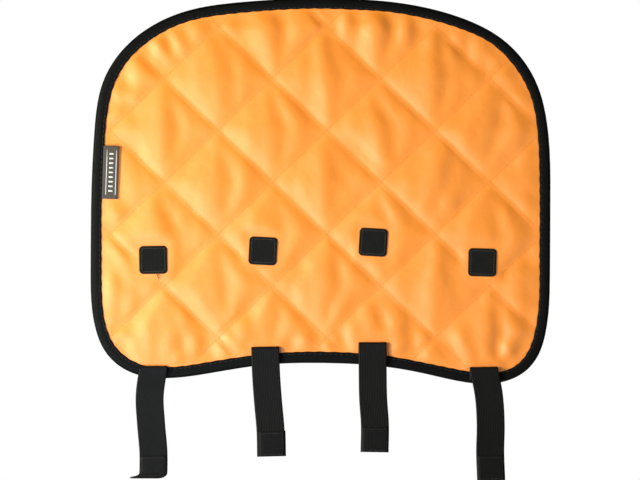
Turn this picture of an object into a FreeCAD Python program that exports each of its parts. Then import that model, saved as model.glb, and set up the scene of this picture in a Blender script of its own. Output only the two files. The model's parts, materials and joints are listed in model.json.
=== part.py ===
"""Quilted fabric pad with a bound edge and four hook-and-loop strap loops, as separate sewn pieces.

Row frame, millimetres: X to the right, Z up, Y through the thickness with the front face towards -Y.
The origin is the middle of the panel on its flat back face, and four straps hang down past the hem.
"""

import FreeCAD, Part
import math
import os

from FreeCAD import Vector

# Panel outline in the XZ plane, clockwise from the middle of the top edge.
OUTLINE = [
    (0.0, 136.4),      # top edge, a shallow arch
    (52.0, 133.6),
    (97.0, 123.6),
    (131.5, 105.6),    # top right corner
    (152.5, 78.5),
    (161.2, 46.0),
    (163.3, -8.0),     # right side
    (163.0, -62.0),
    (160.2, -100.0),
    (149.5, -125.0),   # bottom right corner
    (128.0, -136.4),
    (104.0, -136.3),
    (73.0, -129.7),    # hem, arched up between the corners
    (36.0, -124.0),
    (0.0, -122.4),
    (-38.0, -123.6),
    (-76.0, -129.2),
    (-108.0, -133.2),
    (-132.0, -130.3),  # bottom left corner
    (-150.5, -118.0),
    (-160.4, -96.0),
    (-163.3, -55.0),   # left side
    (-162.7, 0.0),
    (-160.6, 42.0),
    (-154.0, 78.5),    # top left corner
    (-134.5, 106.0),
    (-99.0, 126.2),
    (-52.0, 134.0),
]
OUTLINE_SAMPLES = 72

# Panel layers through the thickness. The back plateau lies on y = 0.
PANEL_THICKNESS = 5.0      # quilted area
BORDER_THICKNESS = 2.4     # pressed flat under the binding
SKIN = 0.8                 # face fabric and back liner
LAYER_GAP = 0.03
SHOULDER_START = 8.0       # how far in from the edge the padding begins to rise
SHOULDER_END = 13.0

# Binding tape folded round the edge.
BINDING_WIDTH = 7.0
TAPE_THICKNESS = 0.7
BINDING_GAP = 0.05
BINDING_SEAM_INSET = 5.6   # distance of its stitch line from the edge

# Sewing thread.
THREAD = 0.25
SEAM_WIDTH = 0.5
TOUCH = 0.02               # clearance between a thread and what it lies on

# Diamond quilting: two families of seams through a lattice of crossings.
QUILT_WIDTH = 77.3         # diamond, corner to corner
QUILT_HEIGHT = 74.0
QUILT_CROSSING = (4.3, 42.8)
QUILT_GROOVE_WIDTH = 1.0
QUILT_GROOVE_DEPTH = 0.45
QUILT_THREAD_WIDTH = 0.8
QUILT_INSET = 14.0         # seams end here, where the padding starts to fall to the border

# Loop patches: centre x, centre z, turn in degrees.
PATCHES = [(-119.3, -49.6, 1.0), (-41.1, -43.2, -3.0), (37.5, -37.0, -3.5), (115.3, -51.4, -1.5)]
PATCH_SIZE = 20.0
PATCH_THICKNESS = 1.2
PATCH_CORNER = 3.0
PATCH_SEAM_INSET = 1.6
SEWN_GAP = 0.05            # between the padding and a piece sewn on it

# Straps: fold x, fold z, drop from the fold to the tip, lean of the hanging tail in degrees.
STRAPS = [(-119.1, -125.0, 79.5, 0.7), (-39.4, -111.4, 77.5, 3.3),
          (37.1, -108.2, 78.0, 1.0), (116.3, -125.8, 80.5, 3.6)]
STRAP_WIDTH = 20.0
STRAP_THICKNESS = 1.2
FOLD_RADIUS = 0.9          # of the webbing's middle line
FOLD_CLEARANCE = 1.1       # between the fold and the top of the moving tail
HINGE_BEHIND_TAIL = 0.7    # the fold's turning axis lies this far behind the hanging tail
REST_TILT = 3.5            # the hanging tail stands off the panel by this angle
TAB_HEM_MARGIN = 1.0       # the sewn end stops this far above the hem
HOOK_LENGTH = 18.0
HOOK_THICKNESS = 1.2
HOOK_SIDE_MARGIN = 0.2
HOOK_SEAM_INSET = 1.6
ROOT_SEAM_INSET = 1.6

# Side label caught under the binding on the left edge.
LABEL_Z = 13.0
LABEL_HEIGHT = 39.0
LABEL_WIDTH = 10.5
LABEL_THICKNESS = 0.6
LABEL_LEAN = 2.0           # follows the slant of the edge
LABEL_TILT = 8.0           # rises from the binding over the padding's shoulder
LABEL_ROOT_GAP = 0.4       # between the binding's inner edge and the label's hinge line
LABEL_FRONT_GAP = 0.15     # the label turns over the binding with this much to spare
LABEL_HINGE_START = 0.3    # between the hinge line and the free flap

FRONT = -PANEL_THICKNESS
MIDDLE = FRONT / 2
BORDER_FRONT = MIDDLE - BORDER_THICKNESS / 2
BORDER_BACK = MIDDLE + BORDER_THICKNESS / 2
BINDING_FRONT = BORDER_FRONT - BINDING_GAP - TAPE_THICKNESS
BINDING_BACK = BORDER_BACK + BINDING_GAP + TAPE_THICKNESS
PATCH_FRONT = FRONT - SEWN_GAP - PATCH_THICKNESS
TAB_FRONT = FRONT - SEWN_GAP - STRAP_THICKNESS
TAB_MIDDLE = TAB_FRONT + STRAP_THICKNESS / 2
TAIL_MIDDLE = TAB_MIDDLE - 2 * FOLD_RADIUS
HINGE_Y = TAIL_MIDDLE + HINGE_BEHIND_TAIL
Y_AXIS = Vector(0, 1, 0)


def outline_edge():
    curve = Part.BSplineCurve()
    curve.interpolate(Points=[Vector(x, 0, z) for x, z in OUTLINE], PeriodicFlag=True)
    return curve


CURVE = outline_edge()


def inset_points(inset):
    """Points round the panel outline, moved towards the panel's inside by inset."""
    points = []
    for point in CURVE.toShape().discretize(OUTLINE_SAMPLES + 1)[:-1]:
        tangent = CURVE.tangent(CURVE.parameter(point))[0]
        inward = Vector(tangent.z, 0, -tangent.x)
        points.append(point + inward.normalize() * inset)
    return points


def outline_wire(inset, y):
    curve = Part.BSplineCurve()
    curve.interpolate(Points=[p + Vector(0, y, 0) for p in inset_points(inset)], PeriodicFlag=True)
    return Part.Wire(curve.toShape())


def plate(inset, y_front, y_back):
    """The outline's plate between two depths."""
    return Part.Face(outline_wire(inset, y_front)).extrude(Vector(0, y_back - y_front, 0))


def ring(outer_inset, inner_inset, y_front, y_back):
    """A flat band that follows the outline between two insets."""
    margin = 1.0
    hole = plate(inner_inset, y_front - margin, y_back + margin)
    return plate(outer_inset, y_front, y_back).cut(hole)


def shoulder(y_border, y_plateau):
    """The rise of the padding from the border to the quilted plateau, on one side."""
    wires = [outline_wire(SHOULDER_START, y_border), outline_wire(SHOULDER_END, y_plateau)]
    return Part.makeLoft(wires, True, True)


def pillow(edge_inset, shrink):
    """The padded panel's envelope, with every flat surface moved inwards by shrink."""
    body = plate(edge_inset, BORDER_FRONT + shrink, BORDER_BACK - shrink)
    overlap = 0.2   # sinks each shoulder into the border plate, so that the union is clean
    front = shoulder(BORDER_FRONT + shrink, FRONT + shrink)
    back = shoulder(BORDER_BACK - shrink, -shrink)
    front_core = plate(SHOULDER_START, BORDER_FRONT + shrink, BORDER_FRONT + shrink + overlap)
    back_core = plate(SHOULDER_START, BORDER_BACK - shrink - overlap, BORDER_BACK - shrink)
    return body.multiFuse([front, back, front_core, back_core]).removeSplitter()


def quilt_lattice(width, inset, y_front, y_back):
    """Bars along every quilting seam, joined where they cross, ending at the given inset."""
    half_w = QUILT_WIDTH / 2
    half_h = QUILT_HEIGHT / 2
    slope = math.degrees(math.atan2(half_h, half_w))
    reach = 400.0
    seam_count = 5
    bars = []
    for side in (1, -1):
        for index in range(-seam_count, seam_count + 1):
            centre = Vector(QUILT_CROSSING[0] + index * QUILT_WIDTH, 0, QUILT_CROSSING[1])
            bar = Part.makeBox(2 * reach, y_back - y_front, width, Vector(-reach, y_front, -width / 2))
            bar.rotate(Vector(), Y_AXIS, -side * slope)
            bar.translate(centre)
            bars.append(bar)
    lattice = bars[0].multiFuse(bars[1:])
    return lattice.common(plate(inset, y_front - 1, y_back + 1)).removeSplitter()


def rounded_box(width, height, corner, y_front, y_back):
    """A box in the XZ plane, centred on the Y axis, with rounded corners along Y."""
    box = Part.makeBox(width, y_back - y_front, height, Vector(-width / 2, y_front, -height / 2))
    if corner == 0:
        return box
    upright = [e for e in box.Edges if abs(e.tangentAt(e.FirstParameter).y) > 0.99]
    return box.makeFillet(corner, upright)


def seam_frame(width, height, corner, y_front):
    """A thread laid in a closed rectangle, its front at y_front."""
    outer = rounded_box(width, height, corner, y_front, y_front + THREAD)
    inner = rounded_box(width - 2 * SEAM_WIDTH, height - 2 * SEAM_WIDTH,
                        max(corner - SEAM_WIDTH, 0), y_front - 1, y_front + THREAD + 1)
    return outer.cut(inner)


def lean(shape, base, degrees):
    """Turns a shape in the XZ plane about base, so that what hangs down from it moves towards +X."""
    shape.rotate(base, Y_AXIS, -degrees)
    return shape


def panel_layers():
    envelope = pillow(0.0, 0.0)
    hollow = pillow(-1.0, SKIN)
    core = pillow(LAYER_GAP, SKIN + LAYER_GAP)
    skins = sorted(envelope.cut(hollow).Solids, key=lambda s: s.CenterOfMass.y)
    front_groove = quilt_lattice(QUILT_GROOVE_WIDTH, QUILT_INSET, FRONT - 1, FRONT + QUILT_GROOVE_DEPTH)
    back_groove = quilt_lattice(QUILT_GROOVE_WIDTH, QUILT_INSET, -QUILT_GROOVE_DEPTH, 1)
    return {
        "face_fabric": skins[0].cut(front_groove),
        "back_liner": skins[-1].cut(back_groove),
        "padding_core": core,
    }


def quilting_stitching():
    """Front and back threads, each sunk in its fabric's groove."""
    depth = QUILT_GROOVE_DEPTH - 2 * TOUCH
    inset = QUILT_INSET + 0.2
    front = quilt_lattice(QUILT_THREAD_WIDTH, inset, FRONT + TOUCH, FRONT + TOUCH + depth)
    back = quilt_lattice(QUILT_THREAD_WIDTH, inset, -TOUCH - depth, -TOUCH)
    return Part.makeCompound(front.Solids + back.Solids)


def edge_binding():
    """One tape folded round the edge: a channel that follows the outline."""
    outer = ring(-BINDING_GAP - TAPE_THICKNESS, BINDING_WIDTH, BINDING_FRONT, BINDING_BACK)
    return outer.cut(plate(-BINDING_GAP, BORDER_FRONT - BINDING_GAP, BORDER_BACK + BINDING_GAP))


def binding_stitching():
    inner = BINDING_SEAM_INSET + SEAM_WIDTH
    front = ring(BINDING_SEAM_INSET, inner, BINDING_FRONT - TOUCH - THREAD, BINDING_FRONT - TOUCH)
    back = ring(BINDING_SEAM_INSET, inner, BINDING_BACK + TOUCH, BINDING_BACK + TOUCH + THREAD)
    return Part.makeCompound(front.Solids + back.Solids)


def place_patch(shape, patch):
    x, z, turn = patch
    shape.rotate(Vector(), Y_AXIS, -turn)
    shape.translate(Vector(x, 0, z))
    return shape


def loop_patch(patch):
    solid = rounded_box(PATCH_SIZE, PATCH_SIZE, PATCH_CORNER, PATCH_FRONT, PATCH_FRONT + PATCH_THICKNESS)
    return place_patch(solid, patch)


def patch_stitching(patch):
    side = PATCH_SIZE - 2 * PATCH_SEAM_INSET
    corner = PATCH_CORNER - PATCH_SEAM_INSET
    return place_patch(seam_frame(side, side, corner, PATCH_FRONT - TOUCH - THREAD), patch)


def hem_height(x):
    """Lowest point of the outline at x."""
    line = Part.makeLine(Vector(x, 0, -300), Vector(x, 0, 0))
    return line.distToShape(CURVE.toShape())[1][0][0].z


class Strap:
    """One strap: a sewn root with a fold, and a tail that turns up about the fold onto its patch."""

    def __init__(self, strap, patch):
        self.x, self.z, self.drop, rest_lean = strap
        closed_lean = math.degrees(math.atan2(patch[0] - self.x, patch[1] - self.z))
        self.fold_tilt = (rest_lean - closed_lean) / 2
        self.side_lean = (rest_lean + closed_lean) / 2
        self.fold_z = self.z - FOLD_RADIUS - STRAP_THICKNESS / 2
        self.hinge_z = self.fold_z + math.pi * FOLD_RADIUS / 2
        self.hinge = Vector(self.x, HINGE_Y, self.hinge_z)
        self.fold_axis = Vector(math.cos(math.radians(self.fold_tilt)), 0,
                                math.sin(math.radians(self.fold_tilt)))

    def box(self, width, z_low, z_high, y_front, y_back):
        """A box across the strap, with its heights counted from the hinge line."""
        corner = Vector(self.x - width / 2, y_front, self.hinge_z + z_low)
        return Part.makeBox(width, y_back - y_front, z_high - z_low, corner)

    def place_root(self, shape):
        return lean(shape, self.hinge, self.fold_tilt - self.side_lean)

    def place_tail(self, shape):
        lean(shape, self.hinge, self.side_lean)
        shape.rotate(self.hinge, Vector(1, 0, 0), -REST_TILT)
        return lean(shape, self.hinge, self.fold_tilt)

    def tab_length(self):
        return self.fold_z - hem_height(self.x) - TAB_HEM_MARGIN

    def root(self):
        """The end sewn to the panel, and the half turn of webbing over it."""
        half = STRAP_THICKNESS / 2
        fold_drop = self.hinge_z - self.fold_z
        tab = self.box(STRAP_WIDTH, -fold_drop - self.tab_length(), -fold_drop,
                       TAB_FRONT, TAB_FRONT + STRAP_THICKNESS)
        start = Vector(self.x - STRAP_WIDTH / 2, TAB_MIDDLE - FOLD_RADIUS, self.fold_z)
        outer = Part.makeCylinder(FOLD_RADIUS + half, STRAP_WIDTH, start, Vector(1, 0, 0))
        inner = Part.makeCylinder(FOLD_RADIUS - half, STRAP_WIDTH, start, Vector(1, 0, 0))
        upper = self.box(STRAP_WIDTH, -fold_drop, FOLD_RADIUS * 3, TAIL_MIDDLE - STRAP_THICKNESS, FRONT)
        turn = outer.cut(inner).common(upper)
        return self.place_root(tab.fuse(turn).removeSplitter())

    def root_stitching(self):
        """A box seam that holds the sewn end, hidden behind the hanging tail."""
        fold_drop = self.hinge_z - self.fold_z
        height = self.tab_length() - 2 * ROOT_SEAM_INSET
        frame = seam_frame(STRAP_WIDTH - 2 * ROOT_SEAM_INSET, height, 0, TAB_FRONT - TOUCH - THREAD)
        frame.translate(Vector(self.x, 0, self.fold_z - self.tab_length() / 2))
        return self.place_root(frame)

    def tail(self):
        top = self.fold_z - self.hinge_z - FOLD_CLEARANCE
        half = STRAP_THICKNESS / 2
        return self.place_tail(self.box(STRAP_WIDTH, -self.drop, top, TAIL_MIDDLE - half, TAIL_MIDDLE + half))

    def hook_front(self):
        return TAIL_MIDDLE - STRAP_THICKNESS / 2 - TOUCH - HOOK_THICKNESS

    def hook_tape(self):
        width = STRAP_WIDTH - 2 * HOOK_SIDE_MARGIN
        front = self.hook_front()
        return self.place_tail(self.box(width, -self.drop, HOOK_LENGTH - self.drop, front, front + HOOK_THICKNESS))

    def hook_stitching(self):
        width = STRAP_WIDTH - 2 * HOOK_SEAM_INSET
        frame = seam_frame(width, HOOK_LENGTH - 2 * HOOK_SEAM_INSET, 0, self.hook_front() - TOUCH - THREAD)
        frame.translate(Vector(self.x, 0, self.hinge_z - self.drop + HOOK_LENGTH / 2))
        return self.place_tail(frame)


def left_edge(z):
    """Leftmost point of the outline at height z."""
    line = Part.makeLine(Vector(-300, 0, z), Vector(0, 0, z))
    return line.distToShape(CURVE.toShape())[1][0][0].x


def label_hinge():
    """A point on the line that the label turns about, at the binding's inner edge."""
    x = left_edge(LABEL_Z) + BINDING_WIDTH + LABEL_ROOT_GAP
    return Vector(x, BINDING_FRONT - LABEL_FRONT_GAP - LABEL_THICKNESS / 2, LABEL_Z)


def side_label():
    hinge = label_hinge()
    low = hinge + Vector(LABEL_HINGE_START, -LABEL_THICKNESS / 2, -LABEL_HEIGHT / 2)
    flap = Part.makeBox(LABEL_WIDTH, LABEL_THICKNESS, LABEL_HEIGHT, low)
    flap.rotate(hinge, Vector(0, 0, 1), -LABEL_TILT)
    flap.rotate(hinge, Y_AXIS, LABEL_LEAN)
    return flap


def build():
    """All sub-parts by name."""
    parts = panel_layers()
    parts["edge_binding"] = edge_binding()
    parts["binding_stitching"] = binding_stitching()
    parts["quilting_stitching"] = quilting_stitching()
    parts["side_label"] = side_label()
    for number, (row, patch) in enumerate(zip(STRAPS, PATCHES), start=1):
        strap = Strap(row, patch)
        parts[f"loop_patch_{number}"] = loop_patch(patch)
        parts[f"patch_stitching_{number}"] = patch_stitching(patch)
        parts[f"strap_root_{number}"] = strap.root()
        parts[f"root_stitching_{number}"] = strap.root_stitching()
        parts[f"strap_tail_{number}"] = strap.tail()
        parts[f"hook_tape_{number}"] = strap.hook_tape()
        parts[f"hook_stitching_{number}"] = strap.hook_stitching()
        hinge, axis = strap.hinge, strap.fold_axis
        print(f"strap_{number} hinge {[round(v, 3) for v in hinge]} axis {[round(v, 5) for v in axis]}")
    print("label hinge", [round(v, 3) for v in label_hinge()])
    return parts


os.makedirs("parts", exist_ok=True)
for name, shape in build().items():
    if not shape.isValid() or not shape.Solids:
        raise ValueError(f"{name} is not a valid solid")
    shape.exportStep(f"parts/{name}.step")
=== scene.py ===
"""Looks of a quilted pad: padded cloth, bound edge, webbing straps, pile patches, side label and thread.

Shapes are worked out in millimetres in the frame's axes, X right, Z up and the front towards -Y, and turned
into metres when a mesh is made. A flat place is an (x, z) pair, and a depth is a y value.
"""
import json
import math

import bmesh
import bpy
import numpy as np
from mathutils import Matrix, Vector, noise
from mathutils.bvhtree import BVHTree
from mathutils.geometry import delaunay_2d_cdt


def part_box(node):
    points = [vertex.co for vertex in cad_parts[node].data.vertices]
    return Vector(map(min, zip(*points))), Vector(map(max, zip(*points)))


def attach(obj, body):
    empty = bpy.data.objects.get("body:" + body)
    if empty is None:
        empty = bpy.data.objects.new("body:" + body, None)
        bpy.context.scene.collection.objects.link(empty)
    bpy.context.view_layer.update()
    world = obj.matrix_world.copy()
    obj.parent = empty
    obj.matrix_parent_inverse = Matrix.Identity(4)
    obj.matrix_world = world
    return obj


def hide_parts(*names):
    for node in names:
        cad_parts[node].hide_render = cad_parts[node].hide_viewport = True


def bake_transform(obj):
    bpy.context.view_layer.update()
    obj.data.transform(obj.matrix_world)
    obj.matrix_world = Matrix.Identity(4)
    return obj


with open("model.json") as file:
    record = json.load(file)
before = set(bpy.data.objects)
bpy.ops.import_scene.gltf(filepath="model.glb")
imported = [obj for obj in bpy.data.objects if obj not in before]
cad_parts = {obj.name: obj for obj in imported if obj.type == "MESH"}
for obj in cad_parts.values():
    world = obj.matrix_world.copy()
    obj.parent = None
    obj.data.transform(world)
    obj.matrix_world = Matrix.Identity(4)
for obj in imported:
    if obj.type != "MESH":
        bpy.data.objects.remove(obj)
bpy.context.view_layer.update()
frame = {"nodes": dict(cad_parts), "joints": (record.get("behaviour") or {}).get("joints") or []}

MM = 0.001
TAU = 2 * math.pi
RIGHT, UP = np.array([1.0, 0.0]), np.array([0.0, 1.0])
STRAP_NUMBERS = (1, 2, 3, 4)

# Depths through the panel, as the CAD layers have them.
BORDER_FRONT, BORDER_BACK = -3.7, -1.3  # cloth under the binding
BINDING_FRONT, BINDING_BACK = -4.45, -0.55
MIDDLE = -2.5
SEAM_FRONT, SEAM_BACK = -3.3, -1.95  # cloth drawn in along the quilting
SEWN_ON = -4.95  # face cloth under a patch or strap end

# Binding tape, measured inward from the line it is folded round.
TAPE = 0.7
BINDING_OUTSIDE = 0.75
BINDING_WIDTH = 7.0
BINDING_SEAM = 5.7

# Quilting: diamonds corner to corner, and one crossing.
QUILT_WIDTH, QUILT_HEIGHT = 77.3, 74.0
QUILT_CROSSING = (4.3, 42.8)
QUILT_CELL = math.hypot(QUILT_WIDTH, QUILT_HEIGHT) / 2
QUILT_LINES = 6  # seams each way from that crossing
PANEL_REACH = 175  # no part of the panel is further out than this

PATCH_TURNS = {1: 1.0, 2: -3.0, 3: -3.5, 4: -1.5}  # degrees, clockwise seen from the front is negative
PATCH_SIDE = 20.0
PATCH_CORNER = 3.0

# Noise seeds, one for each use. Sheets have a front and a back one. Patches add their own number.
NOISE_STEP = (17.3, 5.1, 9.7)
RIDGE_SEEDS, SLANT_SEEDS, LUMP_SEEDS = (3, 5), (13, 15), (9, 10)
GATHER_SEED, RIPPLE_SEED, BINDING_NOISE_SEED = 8, 61, 11
PILE_SEED, NAP_SEED, CURL_SEED = 20, 30, 40


# Small maths

def smooth(t):
    """An S-shaped step from 0 at t = 0 to 1 at t = 1."""
    t = np.clip(t, 0.0, 1.0)
    return t * t * (3 - 2 * t)


def mix(a, b, t):
    return a + (b - a) * t


def wander(points, size, seed):
    """Smooth noise between about -1 and 1 for each row of points, with features of the given size."""
    offset = Vector([seed * step for step in NOISE_STEP])
    return np.array([noise.noise(Vector((p[0], p[1], 0)) / size + offset) * 2 for p in points])


def unit(rows):
    return rows / np.linalg.norm(rows, axis=1)[:, None]


def run_along(line):
    """Distance along a line of points, at each point."""
    return np.concatenate([[0], np.cumsum(np.linalg.norm(np.diff(line, axis=0), axis=1))])


def follow(line, run, stops):
    """Points of a line at the given distances along it."""
    return np.stack([np.interp(stops, run, line[:, k]) for k in range(line.shape[1])], axis=1)


def closed(line):
    return np.vstack([line, line[:1]])


def headings(places, reach=1):
    """Direction of a closed line at each of its points."""
    return unit(np.roll(places, -reach, axis=0) - np.roll(places, reach, axis=0))


def in_space(places, depth=0.0):
    """Flat places or directions as ones in space."""
    return np.stack([places[:, 0], np.broadcast_to(depth, len(places)), places[:, 1]], axis=1)


# Meshes

def new_object(name, data):
    made = bpy.data.objects.new(name, data)
    bpy.context.scene.collection.objects.link(made)
    return made


def mesh_piece(name, points, faces, uv=None):
    """A smooth-shaded mesh object from points in mm. uv gives each point's place on its cloth, in mm."""
    mesh = bpy.data.meshes.new(name)
    mesh.from_pydata((np.asarray(points, float) * MM).tolist(), [], [list(map(int, f)) for f in faces])
    if uv is not None:
        layer = mesh.uv_layers.new(name="cloth")
        corners = np.empty(len(mesh.loops), int)
        mesh.loops.foreach_get("vertex_index", corners)
        layer.data.foreach_set("uv", (np.asarray(uv, float) * MM)[corners].ravel())
    work = bmesh.new()
    work.from_mesh(mesh)
    bmesh.ops.recalc_face_normals(work, faces=work.faces)
    work.to_mesh(mesh)
    work.free()
    mesh.polygons.foreach_set("use_smooth", [True] * len(mesh.polygons))
    return new_object(name, mesh)


def grid_faces(rows, columns, close_rows=False, close_columns=False):
    faces = []
    for i in range(rows if close_rows else rows - 1):
        for j in range(columns if close_columns else columns - 1):
            i2, j2 = (i + 1) % rows, (j + 1) % columns
            faces.append((i * columns + j, i * columns + j2, i2 * columns + j2, i2 * columns + j))
    return faces


def grid_rim(rows, columns):
    """Point numbers once round the edge of a grid."""
    total = rows * columns
    rim = list(range(columns)) + [k * columns + columns - 1 for k in range(1, rows)]
    return rim + [total - 1 - k for k in range(1, columns)] + [k * columns for k in range(rows - 2, 0, -1)]


def tube_faces(rows, columns):
    """Closed rings along a run, with both ends filled."""
    faces = grid_faces(rows, columns, close_columns=True)
    first, last = range(columns), range((rows - 1) * columns, rows * columns)
    return faces + [tuple(reversed(first)), tuple(last)]


def repeated(faces, step, count):
    """The faces of many equal shapes, each of step points."""
    return [tuple(k * step + i for i in f) for k in range(count) for f in faces]


def slab(name, faces, rim, front, back, uv):
    """A closed mesh between two surfaces with the same faces, walled in along their rim."""
    count = len(front)
    faces = list(faces) + [tuple(count + i for i in reversed(f)) for f in faces]
    faces += [(i, j, count + j, count + i) for i, j in zip(rim, rim[1:] + rim[:1])]
    return mesh_piece(name, np.vstack([front, back]), faces, np.vstack([uv, uv]))


def grid_slab(name, rows, columns, front, back, uv):
    return slab(name, grid_faces(rows, columns), grid_rim(rows, columns), front, back, uv)


THREAD_SIDES = 6
STITCH_PROFILE = ((-1.0, 0.35), (-0.85, 0.8), (-0.5, 1.0), (0.0, 1.0), (0.5, 1.0), (0.85, 0.8), (1.0, 0.35))


def stitches(name, centres, along, outward, length, radius, arch=0.08):
    """Many short rounded thread segments in one mesh, each bowed outward by arch."""
    outward = np.broadcast_to(outward, centres.shape)
    across = np.cross(along, outward)
    rings = []
    for t, size in STITCH_PROFILE:
        for k in range(THREAD_SIDES):
            angle = TAU * k / THREAD_SIDES
            lift = arch * (1 - t * t) + radius * size * math.sin(angle)
            ring = centres + along * (t * length / 2) + outward * lift
            rings.append(ring + across * (radius * size * math.cos(angle)))
    points = np.stack(rings, axis=1)
    faces = repeated(tube_faces(len(STITCH_PROFILE), THREAD_SIDES), len(rings), len(centres))
    uv = np.stack([points[..., 0] + points[..., 1], points[..., 2]], axis=-1).reshape(-1, 2)
    return mesh_piece(name, points.reshape(-1, 3), faces, uv)


def join(piece, extra):
    """Adds extra's mesh to piece and removes extra."""
    work = bmesh.new()
    work.from_mesh(piece.data)
    work.from_mesh(extra.data)
    work.to_mesh(piece.data)
    work.free()
    bpy.data.objects.remove(extra)


def finish_piece(piece, body, material, *nodes):
    """Gives a piece its material and the body it moves with, and says which CAD nodes it stands for."""
    piece.data.materials.clear()
    piece.data.materials.append(MATERIALS[material])
    if body:
        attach(piece, body)
    if nodes:
        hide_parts(*nodes)


# The panel's outline

OUTLINE_STEP = 1.25
OUTLINE_RAYS = 1800
NEAREST_BATCH = 500


class Outline:
    """A closed flat line, anticlockwise, with evenly spaced points and inward normals."""

    def __init__(self, points):
        line = closed(points)
        run = run_along(line)
        self.length = run[-1]
        count = int(round(self.length / OUTLINE_STEP))
        self.along = np.arange(count) * self.length / count
        self.points = follow(line, run, self.along)
        self.tangent = headings(self.points, 2)
        self.inward = np.stack([-self.tangent[:, 1], self.tangent[:, 0]], axis=1)

    def inset(self, distance):
        return self.points + self.inward * np.reshape(distance, (-1, 1))

    def nearest(self, points):
        found = []
        for start in range(0, len(points), NEAREST_BATCH):
            gap = points[start:start + NEAREST_BATCH, None, :] - self.points[None, :, :]
            found.append(np.argmin((gap ** 2).sum(axis=2), axis=1))
        return np.concatenate(found)

    def depth(self, points):
        """Distance from the line to each point, positive inside."""
        near = self.nearest(points)
        return ((points - self.points[near]) * self.inward[near]).sum(axis=1)


def trace_outline():
    """The line the binding is folded round, from the outer wall of the CAD binding."""
    node = frame["nodes"]["edge_binding"]
    wall = BVHTree.FromPolygons([v.co for v in node.data.vertices], [p.vertices for p in node.data.polygons])
    low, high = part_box("edge_binding")
    level = Vector((0, (low.y + high.y) / 2, 0))
    hits = []
    for k in range(OUTLINE_RAYS):
        angle = TAU * k / OUTLINE_RAYS
        out = Vector((math.cos(angle), 0, math.sin(angle)))
        hit = wall.ray_cast(level + out, -out)[0]
        hits.append((hit.x / MM, hit.z / MM))
    return Outline(Outline(np.array(hits)).inset(BINDING_OUTSIDE))


OUTLINE = trace_outline()


# Where things are sewn on the panel

def joint_of(body):
    return next(j for j in frame["joints"] if j["child"] == body)


def hinge_place(body):
    return np.array(joint_of(body)["pos_m"]) / MM


def flat_box(node):
    """Centre and half size of a CAD node's box, seen from the front."""
    low, high = (np.array([corner.x, corner.z]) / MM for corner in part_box(node))
    return (low + high) / 2, (high - low) / 2


def patch_frame(number):
    """Centre, right and up directions of a loop patch."""
    turn = math.radians(PATCH_TURNS[number])
    right, up = np.array([math.cos(turn), math.sin(turn)]), np.array([-math.sin(turn), math.cos(turn)])
    return flat_box(f"loop_patch_{number}")[0], right, up


def gap_to_box(points, centre, right, up, half_width, half_height):
    """How far each point is outside a turned rectangle, 0 inside."""
    offset = points - centre
    over_x = np.maximum(np.abs(offset @ right) - half_width, 0)
    over_z = np.maximum(np.abs(offset @ up) - half_height, 0)
    return np.hypot(over_x, over_z)


def gap_to_node(points, node, margin=0.0):
    """How far each point is outside a CAD node's box shrunk by the margin."""
    centre, half = flat_box(node)
    return gap_to_box(points, centre, RIGHT, UP, *(half - margin))


def sewn_gap(points, margin=0.0):
    """How far each point is from the nearest patch or strap end, each shrunk by the margin."""
    half = PATCH_SIDE / 2 - margin
    gaps = [gap_to_box(points, *patch_frame(number), half, half) for number in STRAP_NUMBERS]
    gaps += [gap_to_node(points, f"strap_root_{number}", margin) for number in STRAP_NUMBERS]
    return np.min(gaps, axis=0)


# A turned-up strap leaves this much depth at its fold, and more further up and beside it.
ROOM_AT_FOLD, ROOM_HALF_WIDTH = 5.2, 12.5
ROOM_SLOPE, ROOM_SIDE_SLOPE = 0.07, 0.5


def strap_room(points):
    """How deep the cloth may reach at each point and still clear the straps when they are turned up."""
    rooms = []
    for number in STRAP_NUMBERS:
        hinge = hinge_place(f"strap_{number}")
        above = np.maximum(points[:, 1] - hinge[2], 0)
        beside = np.maximum(np.abs(points[:, 0] - hinge[0]) - ROOM_HALF_WIDTH, 0)
        rooms.append(ROOM_AT_FOLD + ROOM_SLOPE * above + ROOM_SIDE_SLOPE * beside)
    return np.min(rooms, axis=0)


# Quilted sheets

SHEET_INSET = 1.0  # the sheets' edge, inside the binding
EDGE_CLEARANCE = 1.4  # no grid point is nearer the sheets' edge than this
QUILT_DIVISIONS = 20  # grid squares along a diamond's side
FLAT_SEWN = 1.6  # cloth this far inside a patch's edge is held flat


def quilt_place(points):
    """Place in the two seam families: a seam lies wherever either number is whole."""
    p = (points[:, 0] - QUILT_CROSSING[0]) / QUILT_WIDTH
    q = (points[:, 1] - QUILT_CROSSING[1]) / QUILT_HEIGHT
    return p + q, p - q


def quilt_point(a, b):
    return np.stack([QUILT_CROSSING[0] + (a + b) / 2 * QUILT_WIDTH,
                     QUILT_CROSSING[1] + (a - b) / 2 * QUILT_HEIGHT], axis=-1)


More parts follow.
